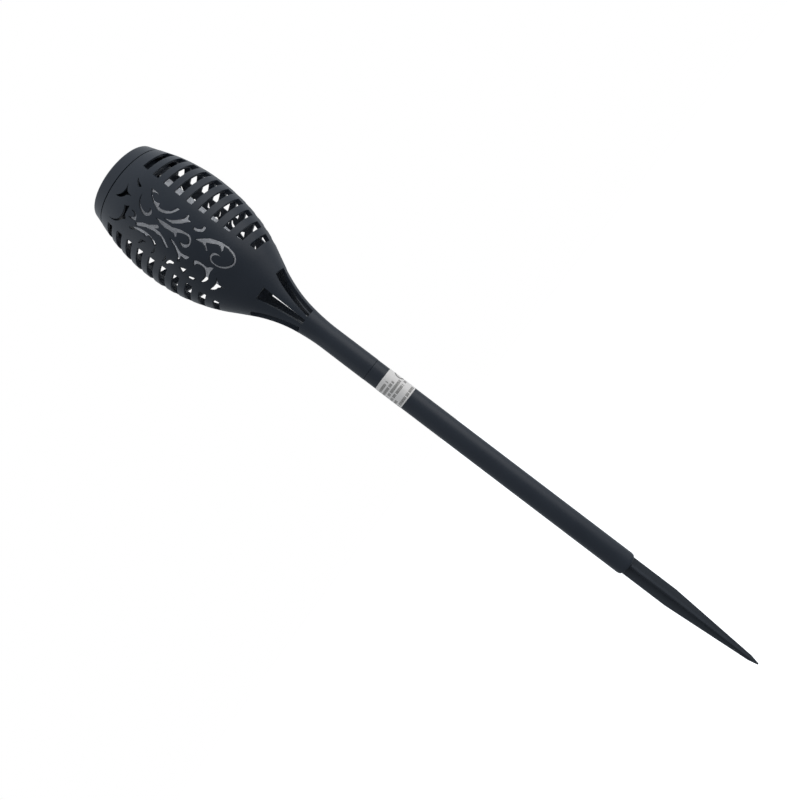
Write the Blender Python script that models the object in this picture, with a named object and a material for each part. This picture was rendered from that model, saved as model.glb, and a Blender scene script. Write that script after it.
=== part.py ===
"""Solar tiki torch: a slotted lantern head on a tube pole, with a ground stake and a lift-out lamp.

Frame: +Z runs up the torch's axis, with the origin at the centre of the pole's lower end.
The scrollwork panels face -Y and +Y. Lengths below are in millimetres and become metres
when a mesh is made. Azimuths are in degrees, counted from -Y towards +X.
"""
import math

import bmesh
import bpy
from mathutils import Matrix, Vector

MM = 0.001
GAP = 0.3                     # clearance between touching pieces

# Pole and stake
POLE_R, POLE_BORE_R, POLE_TOP = 8.0, 6.2, 208.7
LABEL_LOW, LABEL_HIGH, LABEL_THICK, LABEL_GAP = 178.2, 199.0, 0.2, 0.15
PLUG_TOP, PLUG_HALF = 25.0, 5.9
FIN_HALF, FIN_THICK, SHOULDER_SLOPE = 6.5, 1.6, 0.5
FIN_STRAIGHT, FIN_TAPER_END, STAKE_TIP = -35.5, -100.0, -106.8
STAKE_TURN = 24.0

# Head: outer radius of the flame-shaped shell against height
SHELL_WALL, NECK_WALL = 2.0, 3.7
FLARE_TOP, FLARE_LOW = 292.0, 246.0
SHELL_TOP, NECK_BOTTOM, SPIGOT_BOTTOM = 401.4, 209.0, 184.3
SPIGOT_R, SPIGOT_WALL, SHOULDER = 5.9, 1.5, 0.3
SHELL_OUTLINE = [(209, 8.1), (246, 8.1), (262, 9.5), (274, 12.0), (286, 16.3), (298, 22.3), (309, 28.0),
                 (321, 32.8), (336, 36.7), (349, 38.4), (360, 38.8), (371, 38.2), (387, 35.4), (403, 30.3)]
SHELL_STEP_DEG = 10.0
FLAT_R = 36.0                 # the radius at which the shell is drawn flat

# Slots: ten rows from the panel's straight edges, at +-PANEL_HALF in X, to the strut along the parting
# plane. A half's neck has three tapered windows, given by the azimuths of their ends.
PANEL_HALF, STRUT_HALF = 20.8, 3.8
SLOT_ROWS, SLOT_PITCH, SLOT_TALL, TOP_SLOT = 10, 8.92, 4.4, 392.5
WINDOW_LOW, WINDOW_HIGH = 260.9, 292.4
WINDOWS = [((-68, -28), (-82, -50)), ((-11.3, 11.3), (-13.5, 13.5)), ((28, 68), (50, 82))]

# Each half leaves its mould along Y, so its openings' sides run along Y near the panel and turn radial
# between these azimuths.
DRAWN_DEG, RADIAL_DEG, DRAWN_MOST = 48.0, 75.0, 1.06

# Lamp unit
SEAL_LOW, SEAL_HIGH, SEAL_IN, SEAL_OUT = 401.7, 402.6, 27.0, 28.6
CAP_LOW, CAP_TOP, CAP_LOW_R, CAP_TOP_R = 402.0, 410.0, 30.5, 26.6
RECESS_SIDE, RECESS_DEEP = 35.0, 2.8
PANEL_SIDE, PANEL_THICK, PANEL_SUNK = 34.4, 1.6, 0.3
PAD_SIDE, PAD_WINDOW, PAD_THICK = 30.0, 14.0, 0.3
HOUSING_R, HOUSING_WALL, HOUSING_LOW, HOUSING_TOP = 26.4, 1.6, 388.0, 405.2
CAP_CEILING = 405.5
COLLAR_R, COLLAR_WALL, COLLAR_LOW = 18.0, 1.6, 385.0
DIFFUSER_TOP_R, DIFFUSER_LOW_R, DIFFUSER_WALL, DIFFUSER_LOW = 19.5, 15.7, 1.2, 314.0
SCREW_RING, SCREW_R, SCREW_HEAD_R, SCREW_HEAD_TALL, SCREW_END = 21.8, 1.0, 1.8, 1.2, 400.0
BOSS_R, BOSS_HOLE_R, BOSS_LOW = 2.4, 1.3, 390.0
SCREW_AZIMUTHS = (180.0, -60.0, 60.0)

BATTERY_R, BATTERY_LONG, NUB_R, NUB_LONG = 5.0, 28.5, 1.9, 1.2
BATTERY_Y, BATTERY_Z = 10.0, 395.0
SPRING_R, SPRING_TIP_R, SPRING_WIRE, SPRING_TURNS, SPRING_LONG = 3.2, 2.2, 0.35, 3, 3.0
BOARD_SIZE, BOARD_Y = (22.0, 12.0, 1.2), -9.5
LED_BOARD_WIDE, LED_BOARD_THICK, LED_BOARD_LOW, LED_BOARD_TOP = 14.0, 1.2, 336.0, 394.0
LED_SIZE, LED_PITCH, LEDS_A_SIDE = (3.5, 0.9, 2.8), 8.6, 6
SWITCH_Y, SWITCH_TRAVEL = -22.1, 2.4
SWITCH_SIZE, KNOB_SIZE = (8.6, 3.6, 3.6), (3.0, 2.2, 4.0)
WIRE_R = 0.5

# Scrollwork: openings drawn flat on the panel, as x and height over PANEL_DATUM, each with the bulge
# of the arc to the next point: over 0 swells outwards and below 0 is hollow.
PANEL_DATUM = 350.0
SCROLLS = {
    "crest": [(8.5, 43, -0.35), (-2.5, 46, 0.3), (2, 40, -0.2), (3.5, 36.5, 0), (4, 40.5, -0.15)],
    "swallow": [(-3.5, 37, -0.5), (-19, 44, 0.25), (-12.5, 35, 0), (-10, 32, 0), (-8.5, 34, 0), (-2.5, 33, 0)],
    "crescent": [(8.5, 31.5, 0.35), (-0.5, 23.5, 0.3), (2, 19.5, 0.45), (4.5, 22, -0.8), (1, 24, -0.35)],
    "branch": [(14.5, 29, 0.18), (6.5, 18, 0.2), (9.5, 10, 0.1), (14, 7.5, 0), (14, 9, -0.1), (10, 11, -0.2),
               (8, 18.5, 0), (10, 19, 0), (9.5, 23, 0), (13, 27.5, 0), (14.5, 23, 0)],
    "outer_leaf": [(-11, 6.5, 0.35), (-12.5, 27.5, 0), (-13, 26.5, -0.15), (-9.5, 17, 0), (-10.5, 15.5, 0),
                   (-8.5, 14.5, 0)],
    "inner_leaf": [(-7.5, 0, 0), (-3, 9, 0), (-3, 13, 0), (-1.5, 11, 0.4), (-0.5, 12.5, 0), (-3.5, 17, 0.15),
                   (-7.5, 25, 0), (-4.5, 13, 0), (-4.5, 7.5, 0)],
    "crook": [(-0.5, -4, 0), (-2, -7, 0.4), (1.5, -10, 0.35), (6, -6, 0.1), (3.5, 4.5, 0), (2.5, 15.5, 0),
              (1, 8.5, 0), (1.5, 2, 0), (0, 0, 0), (3, 0.5, 0), (5, -5.5, -0.35), (1.5, -9, -0.3)],
    "right_leaf": [(5, 11.5, 0), (5.5, 6, 0), (9, 1, 0), (12.5, -2.5, 0), (14.5, 0.5, 0), (11, 2, 0), (6.5, 7, 0)],
    "comma": [(11, -6, 0.3), (10, -7, 0.2), (12.5, -11.5, 0.1), (15, -11.5, 0), (15, -10, 0), (13, -10, 0)],
    "fork": [(-2, 2, 0), (-7.5, -7, 0), (-11.5, -9, 0), (-11, -10, 0), (-7, -8.5, 0), (-7.5, -11.5, 0),
             (-5, -13.5, 0), (-5.5, -7.5, 0)],
    "lower_curl": [(-16, -26, 0.2), (-11.5, -29, 0), (-2.5, -28.5, 0), (-4.5, -25.5, 0.1), (-4, -19, 0.25),
                   (-8, -18.5, 0), (-5.5, -19, -0.15), (-5.5, -24, -0.15), (-10, -27, 0)],
    "spiral": [(6, -10.5, 0), (7, -15, 0), (4.5, -19.5, 0), (8.5, -16.5, 0), (12, -22.5, 0), (10, -26.5, 0),
               (14, -26, -0.2), (12, -34.5, -0.15), (8.5, -36, -0.25), (1.5, -32, -0.25), (1, -26, -0.3),
               (3.5, -24, -0.3), (7, -28, 0), (6.5, -24.5, 0.3), (3.5, -23, 0.35), (0, -26.5, 0.25),
               (2, -34, 0.2), (8.5, -37, 0.25), (14.5, -33, 0.15), (14.5, -24, 0.05), (11.5, -17, 0)],
    "star": [(-7, -33, 0), (-11.5, -34, 0), (-18.5, -32.5, 0.3), (-14, -36, 0), (-12.5, -39.5, 0), (-11.5, -36, 0)],
}
ARC_STEPS = 2


def clear_scene():
    for thing in list(bpy.data.objects):
        bpy.data.objects.remove(thing, do_unlink=True)


def material(name, colour, roughness, metallic=0.0, alpha=1.0):
    """A Principled material in one colour."""
    made = bpy.data.materials.new(name)
    made.use_nodes = True
    shader = made.node_tree.nodes["Principled BSDF"]
    shader.inputs["Base Color"].default_value = (*colour, 1.0)
    shader.inputs["Roughness"].default_value = roughness
    shader.inputs["Metallic"].default_value = metallic
    shader.inputs["Alpha"].default_value = alpha
    return made


def empty(name, parent=None):
    """An empty that stands for one moving body, on its joint's axis."""
    made = bpy.data.objects.new(name, None)
    made.parent = parent
    bpy.context.scene.collection.objects.link(made)
    return made


def finish(name, bm, paint, parent, location=(0, 0, 0), turn=0.0):
    """Make bm, drawn in millimetres, the mesh of a new object called name."""
    bmesh.ops.scale(bm, vec=(MM, MM, MM), verts=bm.verts)
    mesh = bpy.data.meshes.new(name)
    bm.to_mesh(mesh)
    bm.free()
    mesh.shade_smooth()
    mesh.set_sharp_from_angle(angle=math.radians(35))
    mesh.materials.append(paint)
    made = bpy.data.objects.new(name, mesh)
    made.location = Vector(location) * MM
    made.rotation_euler = (0, 0, math.radians(turn))
    made.parent = parent
    bpy.context.scene.collection.objects.link(made)
    return made


def tidied(bm):
    """Merge the doubles and point the faces outwards."""
    bmesh.ops.remove_doubles(bm, verts=bm.verts, dist=1e-4)
    bmesh.ops.recalc_face_normals(bm, faces=bm.faces)
    return bm


def turned(profile, segments=32, closed=False):
    """Spin a profile of (radius, height) points round the Z axis. A closed profile makes a ring."""
    bm = bmesh.new()
    verts = [bm.verts.new((r, 0, z)) for r, z in profile]
    pairs = list(zip(verts, verts[1:])) + ([(verts[-1], verts[0])] if closed else [])
    edges = [bm.edges.new(pair) for pair in pairs]
    bmesh.ops.spin(bm, geom=verts + edges, cent=(0, 0, 0), axis=(0, 0, 1), angle=2 * math.pi,
                   steps=segments, use_merge=True)
    return tidied(bm)


def block(low, high, bevel=0.0):
    """A box between two corners, with its edges cut back where bevel says."""
    bm = bmesh.new()
    bmesh.ops.create_cube(bm, size=1)
    size = Vector(high) - Vector(low)
    bmesh.ops.scale(bm, vec=size, verts=bm.verts)
    bmesh.ops.translate(bm, vec=(Vector(high) + Vector(low)) / 2, verts=bm.verts)
    if bevel:
        bmesh.ops.bevel(bm, geom=bm.edges[:], offset=bevel, segments=1, profile=0.5, affect="EDGES", material=-1)
    return tidied(bm)


def polar(radius, azimuth):
    """The x and y of a point at an azimuth from -Y."""
    a = math.radians(azimuth)
    return radius * math.sin(a), -radius * math.cos(a)


def cut(target, name, bm, operation="DIFFERENCE", location=(0, 0, 0)):
    """Cut bm out of target, or join it to target, with a Boolean that keeps its cutter."""
    tool = finish(name, bm, target.data.materials[0], target.parent, location)
    tool.hide_render = True
    tool.display_type = "WIRE"
    change = target.modifiers.new(name, "BOOLEAN")
    change.operation = operation
    change.solver = "EXACT"
    change.object = tool


def shell_radius(z):
    """The shell's outer radius at a height, on a smooth curve through SHELL_OUTLINE."""
    points = SHELL_OUTLINE
    z = min(max(z, points[0][0]), points[-1][0])
    i = max(k for k in range(len(points) - 1) if points[k][0] <= z)
    (z0, r0), (z1, r1) = points[i], points[i + 1]

    def slope(k):
        before, after = points[max(k - 1, 0)], points[min(k + 1, len(points) - 1)]
        return (after[1] - before[1]) / (after[0] - before[0])

    t, span = (z - z0) / (z1 - z0), z1 - z0
    return ((2 * t**3 - 3 * t**2 + 1) * r0 + (t**3 - 2 * t**2 + t) * span * slope(i)
            + (3 * t**2 - 2 * t**3) * r1 + (t**3 - t**2) * span * slope(i + 1))


def wall_radii(z):
    """The shell's outer and inner radius at a height, spigot included."""
    if z < NECK_BOTTOM:
        return SPIGOT_R, SPIGOT_R - SPIGOT_WALL
    outer = shell_radius(z)
    lean = shell_radius(z + 0.5) - shell_radius(z - 0.5)
    flare = min(max((z - FLARE_LOW) / (FLARE_TOP - FLARE_LOW), 0.0), 1.0)
    return outer, outer - (NECK_WALL + (SHELL_WALL - NECK_WALL) * flare) * math.hypot(1, lean)


def drawn_azimuth(azimuth, outer, inner):
    """Where the inner edge of a cut falls when its outer edge is at an azimuth."""
    ratio = min(outer / inner, DRAWN_MOST)
    straight = math.degrees(math.asin(max(-1.0, min(1.0, ratio * math.sin(math.radians(azimuth))))))
    radial = min(max((abs(azimuth) - DRAWN_DEG) / (RADIAL_DEG - DRAWN_DEG), 0.0), 1.0)
    return straight + (azimuth - straight) * radial


def flat_x(azimuth):
    """Where an azimuth falls on the flat drawing."""
    return math.radians(azimuth) * FLAT_R


def flat_quad(low_azimuths, high_azimuths, low, high):
    """The flat outline of an opening between two heights, from the azimuths of its low and high ends."""
    return ([(flat_x(a), low) for a in low_azimuths] + [(flat_x(a), high) for a in reversed(high_azimuths)])


def slot_reach(z):
    """The azimuths between which a slot runs at a height."""
    radius = shell_radius(z)
    return math.degrees(math.asin(PANEL_HALF / radius)), math.degrees(math.acos(STRUT_HALF / radius))


def arc(start, end, bulge):
    """The points from start up to, not with, end, along an arc that swells to the right of its way."""
    start, end = Vector(start), Vector(end)
    if not bulge:
        return [start]
    chord = end - start
    aside = Vector((chord.y, -chord.x)) * bulge / 2
    points = []
    for i in range(ARC_STEPS):
        t = i / ARC_STEPS
        points.append(start + chord * t + aside * 4 * t * (1 - t))
    return points


def scroll_outline(points):
    """A scroll opening's corners and arcs as one closed outline."""
    outline = []
    for (x, z, bulge), (next_x, next_z, _) in zip(points, points[1:] + points[:1]):
        outline += arc((x, z + PANEL_DATUM), (next_x, next_z + PANEL_DATUM), bulge)
    return outline


def shell_openings():
    """Every opening of one half shell, drawn flat."""
    openings = [scroll_outline(points) for points in SCROLLS.values()]
    for row in range(SLOT_ROWS):
        low = TOP_SLOT - row * SLOT_PITCH - SLOT_TALL / 2
        high = low + SLOT_TALL
        for side in (-1, 1):
            ends = [sorted(side * azimuth for azimuth in slot_reach(z)) for z in (low, high)]
            openings.append(flat_quad(*ends, low, high))
    for low_end, high_end in WINDOWS:
        openings.append(flat_quad(low_end, high_end, WINDOW_LOW, WINDOW_HIGH))
    return openings


def flat_plate(outline, openings):
    """A plate one millimetre thick with openings, filled by a flat curve."""
    drawing = bpy.data.curves.new("flat_drawing", "CURVE")
    drawing.dimensions = "2D"
    drawing.fill_mode = "BOTH"
    drawing.extrude = 0.5
    for points in [outline] + openings:
        line = drawing.splines.new("POLY")
        line.points.add(len(points) - 1)
        for spot, (x, y) in zip(line.points, points):
            spot.co = (x, y, 0, 1)
        line.use_cyclic_u = True
    holder = bpy.data.objects.new("flat_drawing", drawing)
    bm = bmesh.new()
    bm.from_mesh(holder.to_mesh())
    holder.to_mesh_clear()
    bpy.data.objects.remove(holder)
    bpy.data.curves.remove(drawing)
    return tidied(bm)


def shell_half(name, paint, parent, turn):
    """One half of the head: a plate with openings, bent round the axis to the flame's outline."""
    bm = flat_plate(flat_quad((-90, 90), (-90, 90), SPIGOT_BOTTOM, SHELL_TOP), shell_openings())
    columns = round(180 / SHELL_STEP_DEG)
    cuts = [((flat_x(SHELL_STEP_DEG * i - 90), 0, 0), (1, 0, 0)) for i in range(1, columns)]
    levels = [TOP_SLOT - SLOT_PITCH * (row - 0.5) for row in range(0, SLOT_ROWS + 1, 2)]
    levels += [NECK_BOTTOM - SHOULDER, NECK_BOTTOM, 246.0, 255.0, 263.0, 271.0, 279.0, 286.0, 293.0, 300.0]
    cuts += [((0, z, 0), (0, 1, 0)) for z in levels]
    for place, normal in cuts:
        halved = bmesh.ops.bisect_plane(bm, geom=bm.verts[:] + bm.edges[:] + bm.faces[:], dist=1e-4,
                                        plane_co=place, plane_no=normal)
        for edge in halved["geom_cut"]:
            if isinstance(edge, bmesh.types.BMEdge):
                edge.seam = True
    bmesh.ops.dissolve_limit(bm, angle_limit=math.radians(1), verts=[], edges=bm.edges[:], delimit={"SEAM"})
    bmesh.ops.dissolve_verts(bm, verts=[vert for vert in bm.verts if len(vert.link_edges) == 2])
    for vert in bm.verts:
        outer, inner = wall_radii(vert.co.y)
        azimuth = math.degrees(vert.co.x / FLAT_R)
        x, y = polar(outer, azimuth) if vert.co.z > 0 else polar(inner, drawn_azimuth(azimuth, outer, inner))
        vert.co = (x, y - GAP / 2, vert.co.y)
    bmesh.ops.triangulate(bm, faces=bm.faces)
    bmesh.ops.recalc_face_normals(bm, faces=bm.faces)
    return finish(name, bm, paint, parent, turn=turn)


def ground_stake(paint, parent):
    """Four fins that taper to a point, with a plug above them that fits the pole's bore."""
    thin = FIN_THICK / 2
    stations = [(PLUG_TOP, PLUG_HALF - 1.0, thin), (PLUG_TOP - 2, PLUG_HALF, thin), (-GAP, PLUG_HALF, thin),
                (-GAP - SHOULDER_SLOPE, FIN_HALF, thin), (FIN_STRAIGHT, FIN_HALF, thin),
                (FIN_TAPER_END, 1.9, thin * 0.8), (STAKE_TIP, 0.5, 0.3)]
    bm = bmesh.new()
    loops = []
    for z, wide, half in stations:
        corners = [(wide, -half), (wide, half), (half, half)]
        ring = [Matrix.Rotation(math.pi / 2 * i, 2) @ Vector(c) for i in range(4) for c in corners]
        verts = [bm.verts.new((x, y, z)) for x, y in ring]
        loops.append([bm.edges.new(pair) for pair in zip(verts, verts[1:] + verts[:1])])
    for upper, lower in zip(loops, loops[1:]):
        bmesh.ops.bridge_loops(bm, edges=upper + lower)
    bmesh.ops.contextual_create(bm, geom=loops[0])
    bmesh.ops.contextual_create(bm, geom=loops[-1])
    bmesh.ops.triangulate(bm, faces=bm.faces)
    return finish("ground_stake", tidied(bm), paint, parent, turn=STAKE_TURN)


def pole(paint, label_paint, parent):
    """The tube, its lower end rounded, and the label round it near the top."""
    tube = [(POLE_BORE_R, POLE_TOP), (POLE_R - 0.3, POLE_TOP), (POLE_R, POLE_TOP - 0.3), (POLE_R, 4.0),
            (7.8, 2.2), (7.4, 0.8), (6.9, 0.0), (POLE_BORE_R, 0.0)]
    finish("pole_tube", turned(tube, closed=True), paint, parent)
    inner = POLE_R + LABEL_GAP
    outer = inner + LABEL_THICK
    wrap = [(inner, LABEL_HIGH), (outer, LABEL_HIGH), (outer, LABEL_LOW), (inner, LABEL_LOW)]
    finish("pole_label", turned(wrap, closed=True), label_paint, parent)


def seal_ring(paint, parent):
    ring = [(SEAL_IN, SEAL_HIGH), (SEAL_OUT, SEAL_HIGH), (SEAL_OUT, SEAL_LOW), (SEAL_IN, SEAL_LOW)]
    finish("seal_ring", turned(ring, 48, closed=True), paint, parent)


def cap(paint, parent):
    """The lid: a shallow dome with a square recess on top, and three screw bosses below."""
    side = [(0, CAP_TOP), (CAP_TOP_R - 1.0, CAP_TOP), (CAP_TOP_R + 0.6, CAP_TOP - 0.5),
            (CAP_TOP_R + 1.5, CAP_TOP - 1.6), (CAP_LOW_R, CAP_LOW), (SEAL_OUT + GAP, CAP_LOW)]
    groove = [(SEAL_OUT + GAP, SEAL_HIGH + GAP), (HOUSING_R + GAP, SEAL_HIGH + GAP),
              (HOUSING_R + GAP, CAP_CEILING), (0, CAP_CEILING)]
    lid = finish("cap", turned(side + groove, 48), paint, parent)
    half = RECESS_SIDE / 2
    cut(lid, "recess_cutter", block((-half, -half, CAP_TOP - RECESS_DEEP), (half, half, CAP_TOP + 5)))
    for i, azimuth in enumerate(SCREW_AZIMUTHS, 1):
        place = (*polar(SCREW_RING, azimuth), 0)
        boss = [(0, CAP_CEILING + 0.8), (BOSS_R, CAP_CEILING + 0.8), (BOSS_R, BOSS_LOW), (0, BOSS_LOW)]
        cut(lid, f"boss_{i}", turned(boss, 12), "UNION", place)
        hole = [(0, SCREW_END + 1), (BOSS_HOLE_R, SCREW_END + 1), (BOSS_HOLE_R, BOSS_LOW - 1), (0, BOSS_LOW - 1)]
        cut(lid, f"boss_hole_{i}", turned(hole, 12), location=place)
    for i, x in enumerate((-3.0, 3.0), 1):
        hole = [(0, CAP_TOP), (1.0, CAP_TOP), (1.0, CAP_CEILING - 1), (0, CAP_CEILING - 1)]
        cut(lid, f"wire_hole_{i}", turned(hole, 10), location=(x, -3.0, 0))


def solar_panel(paint, pad_paint, parent):
    """The square laminate and the foam frame that sticks it into the cap."""
    top, half = CAP_TOP - PANEL_SUNK, PANEL_SIDE / 2
    finish("solar_panel", block((-half, -half, top - PANEL_THICK), (half, half, top)), paint, parent)
    low, pad = CAP_TOP - RECESS_DEEP + GAP, PAD_SIDE / 2
    frame = finish("panel_pad", block((-pad, -pad, low), (pad, pad, low + PAD_THICK)), pad_paint, parent)
    hole = PAD_WINDOW / 2
    cut(frame, "pad_cutter", block((-hole, -hole, low - 1), (hole, hole, low + 1)))


def lamp_housing(paint, parent):
    """The cup that holds the battery and board, with a collar below for the diffuser."""
    floor, bore = HOUSING_LOW + HOUSING_WALL, HOUSING_R - HOUSING_WALL
    cup = [(0, floor), (bore, floor), (bore, HOUSING_TOP), (HOUSING_R, HOUSING_TOP),
           (HOUSING_R, HOUSING_LOW + 1), (HOUSING_R - 1, HOUSING_LOW), (COLLAR_R, HOUSING_LOW),
           (COLLAR_R, COLLAR_LOW), (COLLAR_R - COLLAR_WALL, COLLAR_LOW),
           (COLLAR_R - COLLAR_WALL, HOUSING_LOW), (0, HOUSING_LOW)]
    case = finish("lamp_housing", turned(cup, 48), paint, parent)
    low, high = HOUSING_LOW - 1, floor + 1
    for i, azimuth in enumerate(SCREW_AZIMUTHS, 1):
        hole = [(0, high), (SCREW_R + 0.4, high), (SCREW_R + 0.4, low), (0, low)]
        cut(case, f"screw_hole_{i}", turned(hole, 12), location=(*polar(SCREW_RING, azimuth), 0))
    wide, thick = LED_BOARD_WIDE / 2 + GAP, LED_BOARD_THICK / 2 + GAP
    cut(case, "board_slot", block((-wide, -thick, low), (wide, thick, high)))
    reach, deep = (KNOB_SIZE[0] + SWITCH_TRAVEL) / 2 + GAP, KNOB_SIZE[1] / 2 + GAP
    cut(case, "switch_slot", block((-reach, SWITCH_Y - deep, low), (reach, SWITCH_Y + deep, high)))


def housing_screws(paint, parent):
    head_top = HOUSING_LOW - GAP
    head_low = head_top - SCREW_HEAD_TALL
    body = [(0, SCREW_END), (SCREW_R * 0.5, SCREW_END), (SCREW_R, SCREW_END - 1.2), (SCREW_R, head_top),
            (SCREW_HEAD_R, head_top), (SCREW_HEAD_R, head_low + 0.5), (SCREW_HEAD_R - 0.6, head_low),
            (0, head_low)]
    for i, azimuth in enumerate(SCREW_AZIMUTHS, 1):
        finish(f"screw_{i}", turned(body, 12), paint, parent, (*polar(SCREW_RING, azimuth), 0))


def diffuser(paint, parent):
    """The frosted cup round the LEDs, tapering to its closed lower end."""
    top, low, wall = HOUSING_LOW - GAP, DIFFUSER_LOW, DIFFUSER_WALL
    cup = [(DIFFUSER_TOP_R - wall, top), (DIFFUSER_TOP_R, top), (DIFFUSER_LOW_R, low + 2.0),
           (DIFFUSER_LOW_R - 0.6, low + 0.6), (DIFFUSER_LOW_R - 2.0, low), (0, low), (0, low + wall),
           (DIFFUSER_LOW_R - wall - 0.6, low + wall + 0.6)]
    bm = turned(cup, 40, closed=True)
    finish("diffuser", bm, paint, parent)


def along_x(bm):
    """Turn a piece drawn up Z so that it runs along +X."""
    bmesh.ops.rotate(bm, cent=(0, 0, 0), matrix=Matrix.Rotation(math.pi / 2, 3, "Y"), verts=bm.verts)
    return bm


def wire(name, points, radius, paint, parent, sides=0):
    """A round wire through points, in millimetres."""
    line = bpy.data.curves.new(name, "CURVE")
    line.dimensions = "3D"
    line.bevel_depth = radius * MM
    line.bevel_resolution = sides
    line.use_fill_caps = True
    path = line.splines.new("POLY")
    path.points.add(len(points) - 1)
    for spot, point in zip(path.points, points):
        spot.co = (*(Vector(point) * MM), 1)
    line.materials.append(paint)
    made = bpy.data.objects.new(name, line)
    made.parent = parent
    bpy.context.scene.collection.objects.link(made)


def smooth_path(points, steps=5):
    """A smooth curve through points, as a list of points on it."""
    ends = [points[0] * 2 - points[1]] + points + [points[-1] * 2 - points[-2]]
    path = []
    for a, b, c, d in zip(ends, ends[1:], ends[2:], ends[3:]):
        for i in range(steps):
            t = i / steps
            path.append((b * 2 + (c - a) * t + (a * 2 - b * 5 + c * 4 - d) * t**2
                         + (b * 3 - a - c * 3 + d) * t**3) / 2)
    return path + [points[-1]]


def battery(can_paint, contact_paint, parent):
    """The cell, lying along X, its contact plate and its spring."""
    half = BATTERY_LONG / 2
    can = [(0, half + NUB_LONG), (NUB_R, half + NUB_LONG), (NUB_R, half), (BATTERY_R - 0.5, half),
           (BATTERY_R, half - 0.5), (BATTERY_R, 0.5 - half), (BATTERY_R - 0.5, -half), (0, -half)]
    place = (0, BATTERY_Y, BATTERY_Z)
    finish("battery", along_x(turned(can, 24)), can_paint, parent, place)
    plate = half + NUB_LONG + GAP
    finish("contact_plate", block((plate, -4, -4), (plate + 0.4, 4, 4)), contact_paint, parent, place)
    start = -half - GAP - SPRING_WIRE
    coil = []
    for i in range(SPRING_TURNS * 10 + 1):
        t = i / (SPRING_TURNS * 10)
        radius = SPRING_TIP_R + (SPRING_R - SPRING_TIP_R) * t
        angle = 2 * math.pi * SPRING_TURNS * t
        coil.append((start - SPRING_LONG * t, BATTERY_Y + radius * math.cos(angle),
                     BATTERY_Z + radius * math.sin(angle)))
    wire("contact_spring", coil, SPRING_WIRE, contact_paint, parent)


def control_board(paints, parent):
    """The board on the housing's floor, with its chip and its boost coil."""
    wide, deep, thick = BOARD_SIZE
    low = HOUSING_LOW + HOUSING_WALL + GAP
    top = low + thick
    finish("control_board", block((-wide / 2, BOARD_Y - deep / 2, low), (wide / 2, BOARD_Y + deep / 2, top)),
           paints["board"], parent)
    seat = top + GAP
    finish("control_chip", block((-7.5, BOARD_Y - 2, seat), (-2.5, BOARD_Y + 2, seat + 1.5), 0.2),
           paints["chip"], parent)
    coil = [(0, 6.0), (2.5, 6.0), (2.5, 5.0), (2.0, 4.6), (2.0, 1.4), (2.5, 1.0), (2.5, 0), (0, 0)]
    finish("inductor", turned(coil, 16), paints["chip"], parent, (5.0, BOARD_Y, seat))
    for side, colour in ((1, "red"), (-1, "black")):
        down = [Vector(p) for p in ((3 * side, -3, CAP_TOP - RECESS_DEEP + 0.2), (3 * side, -3, 404.5),
                                    (6 * side, -2.6, 399.5), (4 * side, -4.6, 394.5), (3 * side, -5, seat))]
        wire(f"panel_wire_{colour}", smooth_path(down), WIRE_R, paints[colour], parent)
        over = [Vector(p) for p in ((9 * side, -5.5, seat), (9 * side, -5.3, 394.5), (7.6 * side, -3.8, 396.2),
                                    (5.5 * side, -2.4, 394.6), (5 * side, -1.0, 393.0))]
        wire(f"led_wire_{colour}", smooth_path(over), WIRE_R, paints[colour], parent)


def led_board(paints, parent):
    """The strip board inside the diffuser, with LEDs down both sides."""
    wide, thick = LED_BOARD_WIDE / 2, LED_BOARD_THICK / 2
    finish("led_board", block((-wide, -thick, LED_BOARD_LOW), (wide, thick, LED_BOARD_TOP)),
           paints["board"], parent)
    long, deep, tall = LED_SIZE
    for i in range(2 * LEDS_A_SIDE):
        side = -1 if i < LEDS_A_SIDE else 1
        row = i % LEDS_A_SIDE
        x = 2.6 if row % 2 else -2.6
        y = side * (thick + GAP + deep / 2)
        led = block((-long / 2, -deep / 2, -tall / 2), (long / 2, deep / 2, tall / 2), 0.2)
        finish(f"led_{i + 1:02d}", led, paints["led"], parent, (x, y, LED_BOARD_LOW + 4 + row * LED_PITCH))


def slide_switch(paints, lamp, knob_parent):
    """The switch inside the housing, and the knob that sticks out below it."""
    long, deep, tall = (s / 2 for s in SWITCH_SIZE)
    seat = HOUSING_LOW + HOUSING_WALL + GAP
    finish("switch_body", block((-long, SWITCH_Y - deep, seat), (long, SWITCH_Y + deep, seat + 2 * tall), 0.2),
           paints["chip"], lamp)
    wide, thick, high = KNOB_SIZE
    x = -SWITCH_TRAVEL / 2
    low = (x - wide / 2, SWITCH_Y - thick / 2, seat - GAP - high)
    finish("switch_knob", block(low, (x + wide / 2, SWITCH_Y + thick / 2, seat - GAP), 0.25),
           paints["knob"], knob_parent)


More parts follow.
